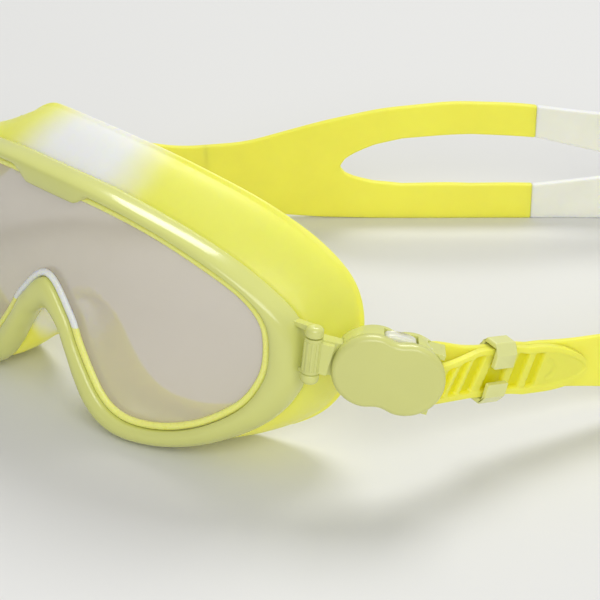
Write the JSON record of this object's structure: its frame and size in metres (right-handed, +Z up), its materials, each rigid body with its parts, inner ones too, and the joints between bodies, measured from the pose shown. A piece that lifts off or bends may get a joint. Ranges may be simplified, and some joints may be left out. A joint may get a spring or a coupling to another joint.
{
  "type": "diving mask",
  "caption": "Wide one-lens swim mask in lime and yellow, with hinged quick-release buckles and a split silicone strap laid out behind it.",
  "frame": {"origin": "centre of the footprint on the ground, under the whole mask and strap", "axes": "+X to the side at which the strap leaves the near buckle, +Y from the lens back to the strap, +Z up"},
  "size_m": [0.2587, 0.2348, 0.0833],
  "materials": {
    "lime_plastic": "gloss",
    "lens_clear": "gloss",
    "silicone_yellow": "satin",
    "silicone_white": "satin",
    "bead_silicone": "satin",
    "steel": "brushed",
    "button_plastic": "gloss",
    "cover_plastic": "gloss"
  },
  "bodies": {
    "mask": {"frame": "lime_plastic", "lens": "lens_clear", "lens_bead": "bead_silicone", "skirt": "silicone_yellow", "hinge_pin_left": "steel", "hinge_pin_right": "steel", "strap_side_left": "silicone_yellow", "strap_side_right": "silicone_yellow", "strap_rear_upper": "silicone_white", "strap_rear_lower": "silicone_white"},
    "left_clip": {"clip_left": "lime_plastic"},
    "left_buckle": {"buckle_left": "lime_plastic", "buckle_cover_left": "cover_plastic", "button_spring_left": "steel", "strap_bar_left": "lime_plastic", "strap_tail_left": "silicone_yellow"},
    "left_upper_button": {"button_upper_left": "button_plastic"},
    "left_lower_button": {"button_lower_left": "button_plastic"},
    "left_keeper": {"keeper_left": "lime_plastic"},
    "right_clip": {"clip_right": "lime_plastic"},
    "right_buckle": {"buckle_right": "lime_plastic", "buckle_cover_right": "cover_plastic", "button_spring_right": "steel", "strap_bar_right": "lime_plastic", "strap_tail_right": "silicone_yellow"},
    "right_upper_button": {"button_upper_right": "button_plastic"},
    "right_lower_button": {"button_lower_right": "button_plastic"},
    "right_keeper": {"keeper_right": "lime_plastic"}
  },
  "joints": [
    {"name": "left_clip_hinge", "type": "hinge", "parent": "mask", "child": "left_clip", "pos_m": [0.06821, -0.09025, 0.04359], "axis": [0, 0.1547, 0.988], "range_deg": [-36, 24], "deforming": ["strap_side_left"]},
    {"name": "left_release", "type": "slide", "parent": "left_clip", "child": "left_buckle", "axis": [0.7444, 0.6137, -0.2632], "range_m": [0, 0.012], "deforming": ["strap_side_left"]},
    {"name": "left_upper_press", "type": "slide", "parent": "left_buckle", "child": "left_upper_button", "axis": [-0.1246, -0.2596, -0.9577], "range_m": [0, 0.0016], "stiffness_N_per_m": 600, "springref_m": -0.0006, "deforming": ["button_spring_left"]},
    {"name": "left_lower_press", "type": "slide", "parent": "left_buckle", "child": "left_lower_button", "axis": [0.1246, 0.2596, 0.9577], "range_m": [0, 0.0016], "stiffness_N_per_m": 600, "springref_m": -0.0006, "deforming": ["button_spring_left"]},
    {"name": "left_keeper_slide", "type": "slide", "parent": "left_buckle", "child": "left_keeper", "axis": [0.2022, 0.9446, -0.2584], "range_m": [-0.005, 0.005], "deforming": ["strap_side_left"]},
    {"name": "right_clip_hinge", "type": "hinge", "parent": "mask", "child": "right_clip", "pos_m": [-0.10959, -0.09025, 0.04359], "axis": [0, 0.1547, 0.988], "range_deg": [-1, 56], "deforming": ["strap_side_right"]},
    {"name": "right_release", "type": "slide", "parent": "right_clip", "child": "right_buckle", "axis": [-0.4324, 0.8503, -0.3002], "range_m": [0, 0.012], "deforming": ["strap_side_right"]},
    {"name": "right_upper_press", "type": "slide", "parent": "right_buckle", "child": "right_upper_button", "axis": [0.0724, -0.2991, -0.9515], "range_m": [0, 0.0016], "stiffness_N_per_m": 600, "springref_m": -0.0006, "deforming": ["button_spring_right"]},
    {"name": "right_lower_press", "type": "slide", "parent": "right_buckle", "child": "right_lower_button", "axis": [-0.0724, 0.2991, 0.9515], "range_m": [0, 0.0016], "stiffness_N_per_m": 600, "springref_m": -0.0006, "deforming": ["button_spring_right"]},
    {"name": "right_keeper_slide", "type": "slide", "parent": "right_buckle", "child": "right_keeper", "axis": [-0.4326, -0.8709, 0.233], "range_m": [-0.005, 0.005], "deforming": ["strap_side_right"]}
  ]
}
